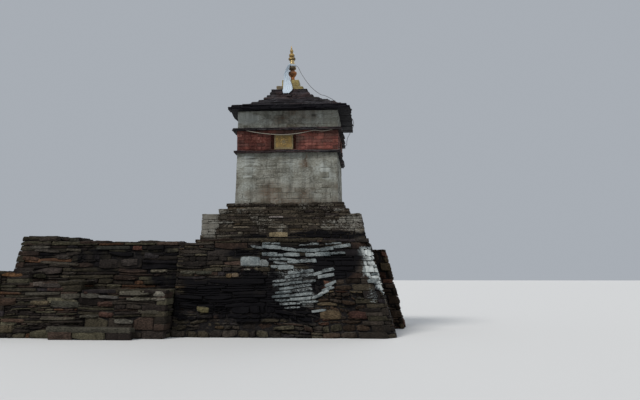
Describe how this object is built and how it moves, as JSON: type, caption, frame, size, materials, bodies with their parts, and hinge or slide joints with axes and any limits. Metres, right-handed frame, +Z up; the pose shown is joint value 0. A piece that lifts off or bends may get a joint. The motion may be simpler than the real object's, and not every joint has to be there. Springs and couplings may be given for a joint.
{
  "type": "hilltop stupa",
  "caption": "Square stone stupa with a red band and niches, stacked slate roof and gilded finial, on a battered dry-stone base with a terrace wall.",
  "frame": {"origin": "on the shaft's axis at ground level", "axes": "+Z up, the front with the pictured niche faces -Y, the terrace runs towards -X"},
  "size_m": [9.69, 5.98, 7.5792],
  "materials": {
    "schist": "rough dry-laid schist, soot-stained in places, white-painted slabs at the front",
    "rubble": "rough brown rubble",
    "brown_stone": "weathered brown stone with remains of pale plaster",
    "limewash": "weathered limewash over coursed stone",
    "red_wash": "weathered red earth wash over coursed stone",
    "panel_paint": "faded ochre paint",
    "slate": "split slate, dark with purple and rust tints",
    "ochre_paint": "weathered yellow ochre wash",
    "gilt": "weathered gilding",
    "worn_copper": "copper with the gilding worn off",
    "scarf_cloth": "thin white cloth, weathered",
    "rope": "twisted fibre, weathered"
  },
  "bodies": {
    "root": {"base_front_wall": "schist", "base_back_wall": "schist", "base_right_wall": "schist", "base_core": "rubble", "base_cap_course": "brown_stone", "right_buttress": "rubble", "terrace_front_wall": "schist", "terrace_back_wall": "schist", "terrace_end_wall": "schist", "terrace_core": "rubble", "terrace_cap_course": "schist", "terrace_stack": "schist", "ledge_left": "schist", "ledge_middle": "schist", "ledge_right": "schist", "ledge_footing_slab": "brown_stone", "plinth": "brown_stone", "step_lower": "brown_stone", "step_upper": "brown_stone", "shaft": "limewash", "lower_string_course": "slate", "red_band": "red_wash", "niche_panel_front": "panel_paint", "niche_panel_right": "panel_paint", "niche_panel_back": "panel_paint", "niche_panel_left": "panel_paint", "upper_string_course": "slate", "neck": "limewash", "roof_course_1": "slate", "roof_course_2": "slate", "roof_course_3": "slate", "roof_course_4": "slate", "roof_course_5": "slate", "roof_course_6": "slate", "roof_course_7": "slate", "roof_course_8": "slate", "roof_cap_slab": "slate", "pedestal_lower": "ochre_paint", "pedestal_upper": "ochre_paint", "finial_foot": "gilt", "finial_vase": "worn_copper", "finial_lotus": "gilt", "finial_cone": "gilt", "finial_ring_lower": "gilt", "finial_ring_upper": "gilt", "finial_jewel": "gilt", "finial_tip": "gilt", "scarf": "scarf_cloth", "spire_rope": "rope", "front_rope": "rope"}
  },
  "joints": []
}
